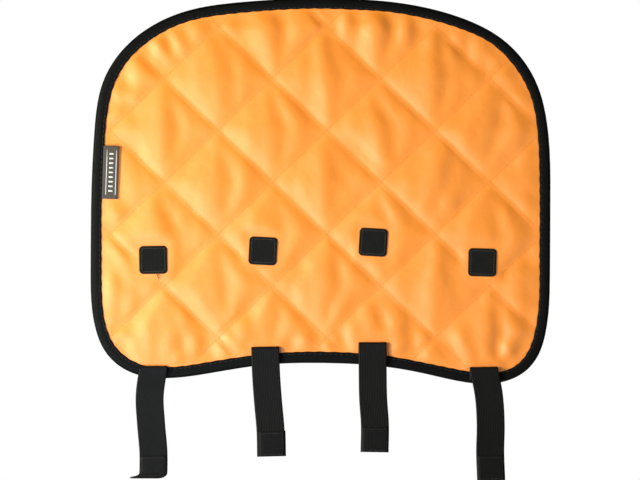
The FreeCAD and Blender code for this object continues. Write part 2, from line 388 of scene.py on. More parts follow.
class Layout:
    """The flat mesh both cloths share: a grid along the seams, joined to the outline."""

    def __init__(self):
        edge = OUTLINE.inset(SHEET_INSET)[::2]
        span = np.arange(-QUILT_LINES * QUILT_DIVISIONS, QUILT_LINES * QUILT_DIVISIONS + 1)
        a, b = (g.ravel() / QUILT_DIVISIONS for g in np.meshgrid(span, span))
        inside = quilt_point(a, b)
        inside = inside[(np.abs(inside) < PANEL_REACH).all(axis=1)]
        inside = inside[OUTLINE.depth(inside) > SHEET_INSET + EDGE_CLEARANCE]
        flat = [Vector(p) for p in np.vstack([edge, inside])]
        found, _, triangles, _, _, _ = delaunay_2d_cdt(flat, [], [list(range(len(edge)))], 1, 1e-4)
        work = bmesh.new()
        verts = [work.verts.new((p.x, 0, p.y)) for p in found]
        for triangle in triangles:
            work.faces.new([verts[i] for i in triangle])
        bmesh.ops.delete(work, geom=[v for v in work.verts if not v.link_faces], context="VERTS")
        bmesh.ops.join_triangles(work, faces=work.faces[:], angle_face_threshold=math.pi,
                                 angle_shape_threshold=math.radians(30))
        work.verts.index_update()
        self.points = np.array([(v.co.x, v.co.z) for v in work.verts])
        self.faces = [tuple(v.index for v in f.verts) for f in work.faces]
        self.rim = list(range(len(edge)))       # the triangulation keeps the edge's points first
        work.free()
        self.depth = OUTLINE.depth(self.points)
        self.a, self.b = quilt_place(self.points)
        off = np.minimum(np.abs(self.a - np.round(self.a)), np.abs(self.b - np.round(self.b)))
        self.on_seam = off < 0.2 / QUILT_DIVISIONS
        self.sewn = sewn_gap(self.points)

    def smoothed(self, values, rounds, fixed):
        """Evens values out over neighbouring points, leaving the fixed ones."""
        pairs = np.array([(f[k], f[k - 1]) for f in self.faces for k in range(len(f))])
        count = np.bincount(pairs.ravel(), minlength=len(values))
        for _ in range(rounds):
            total = np.bincount(pairs[:, 0], values[pairs[:, 1]], len(values))
            total += np.bincount(pairs[:, 1], values[pairs[:, 0]], len(values))
            values = np.where(fixed, values, mix(values, total / count, 0.5))
        return values


# How the cloth's first shape is made. A fade is the distance over which an effect sets in.
PUFF_FRONT, PUFF_BACK = 3.5, 2.3  # how far the padding stands up between seams
SEAM_FADE = 9.0
RIPPLE, RIPPLE_SIZE, RIPPLE_STRETCH = 0.6, 24.0, 0.5
FIRST_PRESS_REACH, PRESS_REACH = 6.0, 8.0  # how far from a patch or strap end the cloth is drawn down
PRESS_FADE = 4.0
ROOF, RIDGE_PLACE, RIDGE_SPREAD = 0.75, -0.15, 0.25
RIDGE_SLANT = 0.35
FOLD_COUNT, FOLD_HEIGHT = 0.95, 0.42
SEAM_BULGE, SEAM_REACH = 0.6, 4.0
LUMP, LUMP_SIZE, LUMP_STRETCH = 0.5, 9.0, 0.45
CELL_SPREAD, CELL_SIZE = 31.7, 10.0  # sets noise for neighbouring diamonds well apart
PUFF_FADE = 12.0
GATHER_PITCH, GATHER_HEIGHT, GATHER_DRIFT = 24.0, 2.1, 40.0
GATHER_FADE, GATHER_DEPTH, GATHER_LENGTH = 5.0, 38.0, 24.0
UPRIGHT_SHARE = 0.3  # gathers are this strong on upright stretches of the edge
PULL_COUNT, PULL_HEIGHT = 11, 1.3
PULL_START, PULL_START_FADE = 10, 8
PULL_END, PULL_END_FADE = 52, 26
PULL_TURNS = {1: 0.4, 2: 1.8, 3: 0.9, 4: 2.2}
PULL_STRENGTH = {1: 1.0, 2: 0.8, 3: 0.8, 4: 1.6}


def seam_level(points, border, seam):
    """Depth of the cloth along the quilting: the border's near the binding, drawn in and rippled inside."""
    rise = past_binding(OUTLINE.depth(points), SEAM_FADE)
    ripple = RIPPLE * wander(points * np.array([1.0, RIPPLE_STRETCH]), RIPPLE_SIZE, RIPPLE_SEED)
    return mix(border, seam + ripple, rise)


def past_binding(depth, fade):
    """0 under the binding, rising to 1 over the fade inside it."""
    return smooth((depth - BINDING_WIDTH) / fade)


def pressed(points, level, sewn, reach):
    """Brings a front cloth level to the flat it is sewn at, within reach of a patch or strap end."""
    border = 1 - past_binding(OUTLINE.depth(points), PRESS_FADE)
    return mix(SEWN_ON, level, np.maximum(smooth(sewn / reach), border))


def strap_pulls(points):
    """Folds fanning out from each strap's sewn end, between -1 and 1."""
    total = np.zeros(len(points))
    for number in STRAP_NUMBERS:
        centre, half = flat_box(f"strap_root_{number}")
        offset = points - (centre - half * UP)
        reach = np.hypot(offset[:, 0], offset[:, 1])
        angle = np.arctan2(offset[:, 1], offset[:, 0])
        fan = np.cos(PULL_COUNT * angle + PULL_TURNS[number]) * PULL_STRENGTH[number]
        band = smooth((reach - PULL_START) / PULL_START_FADE)
        total += fan * band * smooth((PULL_END - reach) / PULL_END_FADE)
    return total


def edge_folds(layout):
    """Gathers where the cloth meets the binding, more on its level stretches, and pulls at the straps."""
    near = OUTLINE.nearest(layout.points)
    run = OUTLINE.along[near]
    level_edge = mix(UPRIGHT_SHARE, 1, np.abs(OUTLINE.tangent[near][:, 0]))
    drift = wander(np.stack([run, run * 0], axis=1), GATHER_DRIFT, GATHER_SEED)
    gather = np.cos(TAU * run / GATHER_PITCH + 2.5 * drift) * (0.8 + 0.4 * drift)
    gather *= smooth((GATHER_DEPTH - layout.depth) / GATHER_LENGTH) * level_edge * GATHER_HEIGHT
    return (gather + PULL_HEIGHT * strap_pulls(layout.points)) * past_binding(layout.depth, GATHER_FADE)


def first_shape(layout, height, side):
    """Padding standing up between the seams: a soft upright ridge in each diamond, with folds and gathers.

    side is 0 for the front sheet and 1 for the back one.
    """
    fa, fb = layout.a - np.floor(layout.a), layout.b - np.floor(layout.b)
    across, up = fa + fb - 1, fa - fb
    dome = (np.sin(math.pi * fa) * np.sin(math.pi * fb)).clip(0)
    cell = np.stack([np.floor(layout.a), np.floor(layout.b)], axis=1) * CELL_SPREAD
    phase = wander(cell, CELL_SIZE, RIDGE_SEEDS[side])
    slant = wander(cell, CELL_SIZE, SLANT_SEEDS[side])
    room = 1.02 - np.abs(up)
    place = (across + RIDGE_SLANT * slant * up) / room
    ridge = RIDGE_PLACE + RIDGE_SPREAD * phase
    roof = room * np.minimum((place + 1) / (1 + ridge), (1 - place) / (1 - ridge)).clip(0)
    turn = TAU * FOLD_COUNT * (place - ridge)
    fold = (np.cos(turn) + 0.5 * np.sin(2 * turn + 3 * phase)) * dome * FOLD_HEIGHT
    seam_gap = np.minimum(np.minimum(fa, 1 - fa), np.minimum(fb, 1 - fb)) * QUILT_CELL
    rise = height * (mix(dome, roof, ROOF) + fold) + SEAM_BULGE * smooth(seam_gap / SEAM_REACH)
    rise += LUMP * wander(layout.points * np.array([1.0, LUMP_STRETCH]), LUMP_SIZE, LUMP_SEEDS[side])
    rise = rise * past_binding(layout.depth, PUFF_FADE) + edge_folds(layout)
    return np.where(layout.on_seam, 0, rise)


SIM_SCALE = 10.0  # cloth solves better at this many times real size
SIM_FRAMES = 30
GROWTH = (1.03, 1.0, 1.012)  # cloth between seams is cut wider than the space it fills
STIFFNESS = 40.0
CLOTH_SETTINGS = {
    "quality": 8, "mass": 0.3, "air_damping": 2.0, "tension_stiffness": STIFFNESS,
    "compression_stiffness": STIFFNESS, "shear_stiffness": 12, "bending_stiffness": 10.0,
    "vertex_group_mass": "held", "use_pressure": True, "uniform_pressure_force": 0.6,
}


def simulate_cloth(layout, start, held, sign):
    """Lets the cloth fill with padding and crumple between its seams. Returns where each point settles."""
    scaled = in_space(layout.points, start) * MM * SIM_SCALE
    mesh = bpy.data.meshes.new("padding_cloth")
    mesh.from_pydata(scaled.tolist(), [], layout.faces)
    if np.sign(sum(p.normal.y for p in mesh.polygons)) != sign:
        mesh.flip_normals()
    cloth = new_object("padding_cloth", mesh)
    cloth.shape_key_add(name="Basis")
    grown = cloth.shape_key_add(name="Grown")
    grown.data.foreach_set("co", (scaled * np.array(GROWTH)).ravel())
    group = cloth.vertex_groups.new(name="held")
    group.add([int(i) for i in np.flatnonzero(held)], 1.0, "REPLACE")
    modifier = cloth.modifiers.new("Cloth", "CLOTH")
    for name, value in CLOTH_SETTINGS.items():
        setattr(modifier.settings, name, value)
    modifier.settings.effector_weights.gravity = 0
    modifier.settings.rest_shape_key = grown
    modifier.collision_settings.use_collision = False
    modifier.point_cache.frame_start = 1
    modifier.point_cache.frame_end = SIM_FRAMES
    scene = bpy.context.scene
    scene.frame_start, scene.frame_end = 1, SIM_FRAMES
    for number in range(1, SIM_FRAMES + 1):
        scene.frame_set(number)
    settled = cloth.evaluated_get(bpy.context.evaluated_depsgraph_get())
    flat = np.empty(len(mesh.vertices) * 3)
    settled.data.vertices.foreach_get("co", flat)
    bpy.data.objects.remove(cloth)
    scene.frame_set(1)
    return flat.reshape(-1, 3) / (MM * SIM_SCALE)


SHAPE_HOLD = 0.4  # share of the first shape kept after the cloth has settled
RISE_LIMIT = 1.25  # the padding stands up to this many times its usual height
DIP_LIMIT = -0.4
UNDER_LABEL = 0.9  # how far the padding may stand up behind the label
LABEL_FADE = 14.0
HELD_EDGE = BINDING_WIDTH + 0.3
SMOOTHING = 3


def settle_sheet(layout, front):
    """Where each point of a cloth's outer surface lies."""
    border, seam = (BORDER_FRONT, SEAM_FRONT) if front else (BORDER_BACK, SEAM_BACK)
    height = PUFF_FRONT if front else PUFF_BACK
    sign = -1 if front else 1
    start = first_shape(layout, height, 0 if front else 1)
    level = seam_level(layout.points, border, seam)
    depth = level + sign * start
    fixed = layout.on_seam | (layout.depth < HELD_EDGE)
    held = fixed
    if front:
        depth = pressed(layout.points, depth, layout.sewn, FIRST_PRESS_REACH)
        held = fixed | (sewn_gap(layout.points, FLAT_SEWN) <= 0)
    settled = in_space(layout.points, depth)
    settled = simulate_cloth(layout, depth, held, sign)
    rise = mix((settled[:, 1] - level) * sign, start, SHAPE_HOLD)
    limit = height * RISE_LIMIT
    if front:
        limit = mix(UNDER_LABEL, limit, smooth(gap_to_node(layout.points, "side_label") / LABEL_FADE))
        limit = np.minimum(limit, strap_room(layout.points) + level)
    rise = np.where(rise > 0, limit * np.tanh(rise / limit), np.maximum(rise, DIP_LIMIT))
    settled[:, 1] = level + sign * layout.smoothed(rise, SMOOTHING, fixed)
    if front:
        settled[:, 1] = pressed(layout.points, settled[:, 1], layout.sewn, PRESS_REACH)
    return settled


CLOTH = 0.35  # cloth thickness
CORE_GAP = 0.05  # between the padding and the cloth
CORE_THIN = 0.1  # the padding's least thickness


def shifted(points, amount):
    return points + np.array([0, amount, 0])


def make_panel_layers():
    """Face cloth, wadding and back liner, each filling the space up to the next."""
    layout = Layout()
    front = settle_sheet(layout, True)
    back = settle_sheet(layout, False)
    core_front, core_back = shifted(front, CLOTH + CORE_GAP), shifted(back, -CLOTH - CORE_GAP)
    meeting = (core_front[:, 1] + core_back[:, 1]) / 2
    core_front[:, 1] = np.minimum(core_front[:, 1], meeting - CORE_THIN / 2)
    core_back[:, 1] = np.maximum(core_back[:, 1], meeting + CORE_THIN / 2)
    face = slab("face_fabric", layout.faces, layout.rim, front, shifted(front, CLOTH), layout.points)
    liner = slab("back_liner", layout.faces, layout.rim, back, shifted(back, -CLOTH), layout.points)
    core = slab("padding_core", layout.faces, layout.rim, core_front, core_back, layout.points)
    finish_piece(face, "panel", "face_cloth", "face_fabric")
    finish_piece(core, "panel", "wadding", "padding_core")
    finish_piece(liner, "panel", "liner_cloth", "back_liner")


# Quilting thread

QUILT_STITCH, QUILT_PITCH, QUILT_THREAD = 2.3, 3.2, 0.17
QUILT_RUN = 400  # seams are stitched this far each way, then cut to the panel
STITCH_CLEARANCE = 1.5  # from the binding, patches and strap ends
THREAD_LIFT = 0.02  # thread's middle off the cloth


def quilt_stitch_places():
    """Flat centres and directions of the stitches along every seam."""
    steps = np.arange(-QUILT_RUN, QUILT_RUN, QUILT_PITCH) / QUILT_CELL
    places, ways = [], []
    for whole in range(-QUILT_LINES, QUILT_LINES + 1):
        fixed = whole + 0 * steps
        for line in (quilt_point(fixed, steps), quilt_point(steps, fixed)):
            places.append(line)
            ways.append(np.tile(unit((line[-1] - line[0])[None, :]), (len(line), 1)))
    places, ways = np.vstack(places), np.vstack(ways)
    near = (np.abs(places) < PANEL_REACH).all(axis=1)
    places, ways = places[near], ways[near]
    shown = OUTLINE.depth(places) > BINDING_WIDTH + STITCH_CLEARANCE
    shown &= sewn_gap(places) > STITCH_CLEARANCE
    return places[shown], ways[shown]


def make_quilting():
    places, ways = quilt_stitch_places()
    front = pressed(places, seam_level(places, BORDER_FRONT, SEAM_FRONT), sewn_gap(places), PRESS_REACH)
    back = seam_level(places, BORDER_BACK, SEAM_BACK)
    for name, side, level, material in (("quilting_thread_front", -1, front, "orange_thread"),
                                        ("quilting_thread_back", 1, back, "liner_thread")):
        centres = in_space(places, level + side * THREAD_LIFT)
        piece = stitches(name, centres, in_space(ways), (0.0, side, 0.0), QUILT_STITCH, QUILT_THREAD)
        finish_piece(piece, "panel", material, "quilting_stitching")


# Binding

BINDING_STITCH, BINDING_PITCH, BINDING_THREAD = 2.5, 3.7, 0.19
BINDING_NOISE, BINDING_NOISE_RADIUS = 14.0, 60
LIP_SCALLOP, LIP_PUCKER, LIP_START = 0.4, 0.15, 2.0
FOLD_INSIDE = 2  # a place inside the tape's fold
CROWN = 0.22
GROOVE, GROOVE_WIDTH = 0.16, 0.7


def binding_section():
    """Tape's middle line as (inset, depth) from the front lip, round the edge, to the back lip."""
    half = TAPE / 2
    front, back = BINDING_FRONT + half, BINDING_BACK - half
    radius = (back - front) / 2
    turn = radius - BINDING_OUTSIDE + half
    flat = np.linspace(BINDING_WIDTH, turn, 10)
    angles = np.linspace(0, math.pi, 11)[1:-1]
    arc = [(turn - radius * math.sin(a), MIDDLE - radius * math.cos(a)) for a in angles]
    return np.array([(n, front) for n in flat] + arc + [(n, back) for n in flat[::-1]])


def make_binding():
    """A tape round the edge: a crowned face, a lip that wanders a little, and a puckered groove."""
    middle = binding_section()
    tangent = unit(np.gradient(middle, axis=0))
    outward = np.stack([tangent[:, 1], -tangent[:, 0]], axis=1)
    facing = outward[:, 1] * (middle[:, 1] - MIDDLE) + outward[:, 0] * (FOLD_INSIDE - middle[:, 0])
    outward *= np.where(facing < 0, -1, 1)[:, None]
    path = run_along(middle)
    stations = OUTLINE.along
    angle = TAU * stations / OUTLINE.length
    around = np.stack([np.cos(angle), np.sin(angle)], axis=1) * BINDING_NOISE_RADIUS
    sway = wander(around, BINDING_NOISE, BINDING_NOISE_SEED)
    pucker = 0.65 + 0.35 * np.cos(TAU * stations / BINDING_PITCH)
    scallop = LIP_SCALLOP * sway + LIP_PUCKER * np.cos(TAU * stations / (2.5 * BINDING_PITCH) + 3 * sway)
    lip = smooth((middle[:, 0] - LIP_START) / (BINDING_WIDTH - LIP_START))
    crown = np.sin(math.pi * np.clip(middle[:, 0] / BINDING_WIDTH, 0, 1)) * CROWN
    groove = np.exp(-((middle[:, 0] - BINDING_SEAM) / GROOVE_WIDTH) ** 2) * GROOVE
    order = range(len(middle))
    rings, uvs = [], []
    for outer, k in [(True, k) for k in order] + [(False, k) for k in reversed(order)]:
        reach = TAPE / 2 + crown[k] - groove[k] * pucker if outer else -TAPE / 2
        place = OUTLINE.inset(middle[k, 0] + outward[k, 0] * reach + lip[k] * scallop)
        rings.append(in_space(place, middle[k, 1] + outward[k, 1] * reach))
        uvs.append(np.stack([stations, np.full(len(stations), path[k])], axis=1))
    faces = grid_faces(len(stations), len(rings), close_rows=True, close_columns=True)
    points, uv = np.stack(rings, axis=1).reshape(-1, 3), np.stack(uvs, axis=1).reshape(-1, 2)
    finish_piece(mesh_piece("edge_binding", points, faces, uv), "panel", "binding_tape", "edge_binding")


def make_binding_stitches():
    count = int(OUTLINE.length / BINDING_PITCH)
    stops = np.arange(count) * OUTLINE.length / count
    run = np.append(OUTLINE.along, OUTLINE.length)
    places = follow(closed(OUTLINE.inset(BINDING_SEAM)), run, stops)
    ways = in_space(headings(places))
    centres = [in_space(places, level + side * THREAD_LIFT)
               for side, level in ((-1, BINDING_FRONT), (1, BINDING_BACK))]
    outward = [np.tile([0.0, side, 0.0], (count, 1)) for side in (-1, 1)]
    piece = stitches("binding_stitching", np.vstack(centres), np.vstack([ways, ways]), np.vstack(outward),
                     BINDING_STITCH, BINDING_THREAD, arch=0.1)
    finish_piece(piece, "panel", "black_thread", "binding_stitching")


# Loop patches

PATCH_BACK, PATCH_FRONT = -5.03, -6.25
PATCH_STEPS = 56
PATCH_THINNEST = 0.25
PATCH_GROOVE, PATCH_GROOVE_WIDTH = 0.3, 0.05  # depth, and width as a share of half the side
PATCH_ROLL, PATCH_ROLL_START = 0.6, 0.9  # the rounded edge starts at this share of half the side
PILE, PILE_SIZE = 0.07, 0.9
NAP, NAP_SIZE = 0.06, 3.5
PATCH_CURL, PATCH_CURL_SIZE = 0.25, 14.0
PATCH_SEAM_INSET, PATCH_SEAM_CORNER = 1.7, PATCH_CORNER - 1.2
PATCH_STITCH_PITCH, SMALL_THREAD = 1.9, 0.16
PATCH_STITCH = PATCH_STITCH_PITCH * 0.6
PATCH_THREAD_SINK = 0.12  # the thread's middle lies this far behind the patch's face


def rounded_square(grid, half, corner):
    """Maps points of a square grid on -1..1 onto a square with rounded corners."""
    place = grid * half
    flat = half - corner
    over = np.maximum(np.abs(place) - flat, 0)
    reach = np.hypot(over[:, 0], over[:, 1])
    squeeze = np.where(reach > 0, over.max(axis=1) / np.where(reach > 0, reach, 1), 1)
    return np.sign(place) * (np.minimum(np.abs(place), flat) + over * squeeze[:, None])


def rounded_square_line(half, corner, pitch):
    """Evenly spaced points once round a rounded square."""
    angles = np.linspace(0, math.pi / 2, 7)
    arc = half - corner + corner * np.stack([np.cos(angles), np.sin(angles)], axis=1)
    quarters = []
    for quarter in range(4):
        turn = quarter * math.pi / 2
        quarters.append(arc @ np.array([[math.cos(turn), math.sin(turn)], [-math.sin(turn), math.cos(turn)]]))
    line = closed(np.vstack(quarters))
    run = run_along(line)
    count = int(run[-1] / pitch)
    return follow(line, run, np.arange(count) * run[-1] / count)


def on_patch(places, centre, right, up):
    """Flat places measured from a patch's centre, as places on the panel."""
    return centre + places[:, :1] * right + places[:, 1:] * up


def make_patch(number):
    frame_of_patch = patch_frame(number)
    steps = np.linspace(-1, 1, PATCH_STEPS)
    grid = np.stack([g.ravel() for g in np.meshgrid(steps, steps)], axis=1)
    flat = rounded_square(grid, PATCH_SIDE / 2, PATCH_CORNER)
    edge = np.abs(grid).max(axis=1)
    seam = 1 - PATCH_SEAM_INSET / (PATCH_SIDE / 2)
    groove = np.exp(-((edge - seam) / PATCH_GROOVE_WIDTH) ** 2) * PATCH_GROOVE
    roll = smooth((edge - PATCH_ROLL_START) / (1 - PATCH_ROLL_START)) ** 2 * PATCH_ROLL
    pile = wander(flat, PILE_SIZE, number + PILE_SEED) * PILE
    pile += wander(flat, NAP_SIZE, number + NAP_SEED) * NAP
    curl = PATCH_CURL * wander(flat, PATCH_CURL_SIZE, number + CURL_SEED) * edge ** 3
    front = PATCH_FRONT + groove + roll * (PATCH_BACK - PATCH_FRONT) - pile * (1 - roll)
    front = np.minimum(front - np.abs(curl), PATCH_BACK - PATCH_THINNEST)
    place = on_patch(flat, *frame_of_patch)
    piece = grid_slab(f"loop_patch_{number}", PATCH_STEPS, PATCH_STEPS,
                      in_space(place, front), in_space(place, PATCH_BACK), flat)
    finish_piece(piece, "panel", "pile_tape", f"loop_patch_{number}")

    line = rounded_square_line(PATCH_SIDE / 2 - PATCH_SEAM_INSET, PATCH_SEAM_CORNER, PATCH_STITCH_PITCH)
    places = on_patch(line, *frame_of_patch)
    thread = stitches(f"patch_stitching_{number}", in_space(places, PATCH_FRONT + PATCH_THREAD_SINK),
                      in_space(headings(places)), (0.0, -1.0, 0.0), PATCH_STITCH, SMALL_THREAD)
    finish_piece(thread, "panel", "patch_thread", f"patch_stitching_{number}")


TAIL_PATCH = 1  # the patch with a loose thread end
TAIL_STRANDS = ((3.9, -0.7, 2.3), (2.0, 2.3, 4.4))  # where each strand starts, its spread and its length
TAIL_TOP = 0.6  # the strands start this far inside the patch's edge
TAIL_DEPTH, TAIL_BOW = -5.95, 0.5
TAIL_RADIUS, TAIL_SIDES, TAIL_STEPS = 0.26, 6, 10


def make_thread_tail():
    """The loose end of the patch seam: two short strands below the patch."""
    t = np.linspace(0, 1, TAIL_STEPS)
    depth = TAIL_DEPTH - TAIL_BOW * np.sin(math.pi * t ** 0.8)
    angles = TAU * np.arange(TAIL_SIDES) / TAIL_SIDES
    ring = np.stack([np.cos(angles), np.sin(angles), 0.3 * np.cos(angles)], axis=1) * TAIL_RADIUS
    strands = []
    for start, spread, length in TAIL_STRANDS:
        across = start + spread * t ** 1.3 + 0.2 * np.sin(5 * t)
        fall = TAIL_TOP - PATCH_SIDE / 2 - length * t
        line = in_space(on_patch(np.stack([across, fall], axis=1), *patch_frame(TAIL_PATCH)), depth)
        points = (line[:, None] + ring).reshape(-1, 3)
        faces = tube_faces(TAIL_STEPS, TAIL_SIDES)
        strands.append(mesh_piece("thread_tail", points, faces, points[:, [0, 2]]))
    join(*strands)
    finish_piece(strands[0], "panel", "tail_thread")


# Straps

STRAP_WIDTH, STRAP_THICKNESS = 20.0, 1.2
STRAP_EDGE, HOOK_EDGE = 0.35, 0.3  # how far in from its sides a tape is rounded
SIDE_SHARE = 0.25  # thickness left at a tape's sides
END_ROUNDING = 0.5
RIBS, RIB_HEIGHT, RIB_SAMPLES = 17, 0.045, 4
PLAIN_SAMPLES = 9
FOLD_RADIUS, FOLD_SLACK, FOLD_STEPS = 0.9, 0.3, 14
TAB_MIDDLE, TAIL_MIDDLE = -5.65, -7.45
BLEND_MARGIN = 0.65
REST_TILT, TILT_FADE, BOW_SHARE = 3.5, 14.0, 0.6
FRAME_SAMPLES = 600
# Lean of the hanging strap in degrees, and how far it sways sideways at each quarter of its drop.
STRAP_SHAPES = {1: (0.7, (0, -2.8, -2.0, -0.5, -0.8)), 2: (0.3, (0, 0.6, 1.9, 3.5, 3.9)),
                3: (1.0, (0, -0.3, -0.3, 0.6, 0)), 4: (3.6, (0, 2.4, 2.3, 0.6, 0))}
# How far the strap bows off straight at each quarter of its drop, away from the panel.
STRAP_BOWS = {1: (0, -0.6, -1.2, -0.2, 0.6), 2: (0, -0.5, -1.0, -0.6, 0.6),
              3: (0, -0.6, -0.8, -0.2, 0.0), 4: (0, -0.8, -1.2, -0.2, 0.4)}
# Straps whose tip curls back: length curled and how far the tip is drawn sideways.
STRAP_CURLS = {1: (6.0, -7.0)}

HOOK_LENGTH, HOOK_TAPE_NARROWER, HOOK_TAPE_THICKNESS = 18.0, 0.4, 0.5
HOOK_SHIFTS = {2: 0.8}  # hook tape sewn on a little to one side
HOOK_STEM = ((0.0, 0.0), (0.05, 0.25), (0.2, 0.42), (0.4, 0.42), (0.5, 0.3))  # sideways and up
HOOK_THICK, HOOK_TIP = 0.11, 0.06
HOOK_ACROSS, HOOK_ALONG, HOOK_OFFSET = 1.15, 1.25, 0.3
STRAP_STITCH, STRAP_STITCH_PITCH = 1.4, 1.9
STRAP_SEAM_WIDTH = STRAP_WIDTH - 3.2
STRAP_BASE = STRAP_THICKNESS / 2 + 0.02  # where things on a strap's face start
HOOK_SEAM_INSET, ROOT_SEAM_START, ROOT_SEAM_END = 1.6, 1.4, 1.2
HOOK_MARGIN, HOOK_ROWS_START, HOOK_ROWS_END = 3.0, 2.8, 2.6
HOOK_SINK, TIP_GAP, HOOK_TAPE_STEPS = 0.05, 0.1, 25


def quarter_curve(values, t):
    """A smooth curve through values at 0, 1/4, 1/2, 3/4 and 1."""
    values = np.array(values, float)
    knots = np.linspace(0, 1, len(values))
    slopes = np.gradient(values, knots)
    k = np.clip((t * (len(values) - 1)).astype(int), 0, len(values) - 2)
    h = knots[1]
    s = (t - knots[k]) / h
    return ((2 * s**3 - 3 * s**2 + 1) * values[k] + (s**3 - 2 * s**2 + s) * h * slopes[k]
            + (-2 * s**3 + 3 * s**2) * values[k + 1] + (s**3 - s**2) * h * slopes[k + 1])


class StrapPath:
    """The middle line of one strap, from its sewn end over the fold to its tip."""

    def __init__(self, number):
        axis = joint_of(f"strap_{number}")["axis"]
        self.hinge = hinge_place(f"strap_{number}")
        self.tilt = math.atan2(-axis[2], -axis[0])
        self.lean, self.sway = STRAP_SHAPES[number]
        self.bow = STRAP_BOWS[number]
        self.curl, self.curl_shift = STRAP_CURLS.get(number, (0.0, 0.0))
        self.turn = math.pi * FOLD_RADIUS
        self.fold_z = self.hinge[2] - self.turn / 2
        root_half = flat_box(f"strap_root_{number}")[1]
        self.tab = 2 * root_half[1] - FOLD_RADIUS - STRAP_THICKNESS / 2 - FOLD_SLACK
        centre, half = flat_box(f"strap_tail_{number}")
        self.drop = self.fold_z - (centre - half)[1] + self.curl * (1 - 2 / math.pi)
        self.length = self.tab + self.turn + self.drop

    def hang(self, down):
        """Sideways, outward and downward places of the hanging part, and its sway without the curl."""
        t = np.clip(down / self.drop, 0, 1)
        slant = math.tan(math.radians(REST_TILT))
        bow = np.maximum(quarter_curve(self.bow, t), -down * slant * BOW_SHARE)
        out = down * slant * smooth(down / TILT_FADE) + bow
        sway = quarter_curve(self.sway, t)
        if not self.curl:
            return sway, out, down, sway
        part = np.clip((down - self.drop + self.curl) / self.curl, 0, 1)
        arc = self.curl * 2 / math.pi
        fall = np.minimum(down, self.drop - self.curl) + arc * np.sin(part * math.pi / 2)
        out = out - arc * (1 - np.cos(part * math.pi / 2))
        return sway + self.curl_shift * part ** 2, out, fall, sway

    def frames(self, run):
        """Points, across and outward directions at distances along the strap."""
        zero = 0 * run
        on_tab, on_tail = run < self.tab, run > self.tab + self.turn
        phi = (run - self.tab) / FOLD_RADIUS
        down = run - self.tab - self.turn
        aside, out, fall, sway = self.hang(down)
        tab_line = np.stack([zero, zero + TAB_MIDDLE, self.fold_z - self.tab + run], axis=1)
        fold_normal = np.stack([zero, np.cos(phi), np.sin(phi)], axis=1)
        fold_line = np.array([0, TAB_MIDDLE - FOLD_RADIUS, self.fold_z]) + FOLD_RADIUS * fold_normal
        tail_line = np.stack([aside, TAIL_MIDDLE - out, self.fold_z - fall], axis=1)
        tail_normal = np.stack([zero, -np.gradient(fall, down), -np.gradient(out, down)], axis=1)
        where = [on_tab[:, None], on_tail[:, None]]
        middle = np.select(where, [tab_line, tail_line], fold_line)
        normal = unit(np.select(where, [np.array([0, 1, 0]), tail_normal], fold_normal))
        turn_in = np.gradient(np.where(on_tail, sway, 0.0), run)
        across = unit(np.stack([zero + 1, zero, turn_in], axis=1))
        blend = smooth((run - self.tab) / self.turn)
        angle = self.tilt * (1 - blend) + math.radians(self.lean) * (2 * blend - 1)
        cos, sin = np.cos(angle), np.sin(angle)

        def spin(rows):
            x, y, z = rows.T
            return np.stack([x * cos - z * sin, y, x * sin + z * cos], axis=1)

        level = np.array([0, 0, self.hinge[2]])
        place = spin(middle - level) + level + np.array([self.hinge[0], 0, 0])
        return place, spin(across), spin(normal)

    def frames_at(self, runs):
        """Frames at any runs, read from an evenly sampled path."""
        even = np.linspace(0, self.length, FRAME_SAMPLES)
        return tuple(follow(part, even, runs) for part in self.frames(even))


def ribbon(name, path, runs, width, low, high, ribs=0, edge=STRAP_EDGE, shift=0.0):
    """Webbing along a strap path, from low to high off its middle line, with rounded edges and ribs."""
    place, across, normal = path.frames(runs)
    s = np.linspace(-1, 1, ribs * RIB_SAMPLES + 1 if ribs else PLAIN_SAMPLES)
    relief = RIB_HEIGHT * np.cos(math.pi * ribs * (s + 1)) if ribs else 0
    band = edge * 4 / width
    soft = np.sqrt(1 - np.clip((np.abs(s) - 1 + band) / band, 0, 1) ** 2)
    thick = ((high - low) / 2 + relief) * np.maximum(soft, SIDE_SHARE)
    side = np.concatenate([s, s[::-1]]) * width / 2
    thick = np.concatenate([thick, -thick[::-1]])
    ends = np.clip(np.minimum(runs - runs[0], runs[-1] - runs) / END_ROUNDING, 0, 1)
    swell = np.sqrt(1 - (1 - ends) ** 2) * 0.5 + 0.5
    lift = (low + high) / 2 + thick * swell[:, None]
    points = place[:, None] + across[:, None] * (side + shift)[:, None]
    points = points + normal[:, None] * lift[..., None]
    uv = np.stack(np.broadcast_arrays(side, runs[:, None]), axis=-1)
    return mesh_piece(name, points.reshape(-1, 3), tube_faces(len(runs), len(side)), uv.reshape(-1, 2))


def strap_runs(path):
    """Distances along a strap to put rings of points at, closer together over the fold."""
    end_of_fold = path.tab + path.turn
    fold = np.linspace(path.tab, end_of_fold, FOLD_STEPS)[:-1]
    return np.concatenate([np.arange(0, path.tab, 1.0), fold, np.arange(end_of_fold, path.length, 1.0),
                           [path.length]])


def box_row(width, low, high, pitch):
    """Stitch places (across, run, 1 if it lies across) round a rectangle on a strap."""
    rows = []
    for side in (-1, 1):
        rows += [(side * width / 2, run, 0) for run in np.arange(low + pitch / 2, high, pitch)]
        end = low if side < 0 else high
        rows += [(across, end, 1) for across in np.arange((pitch - width) / 2, width / 2, pitch)]
    return np.array(rows)


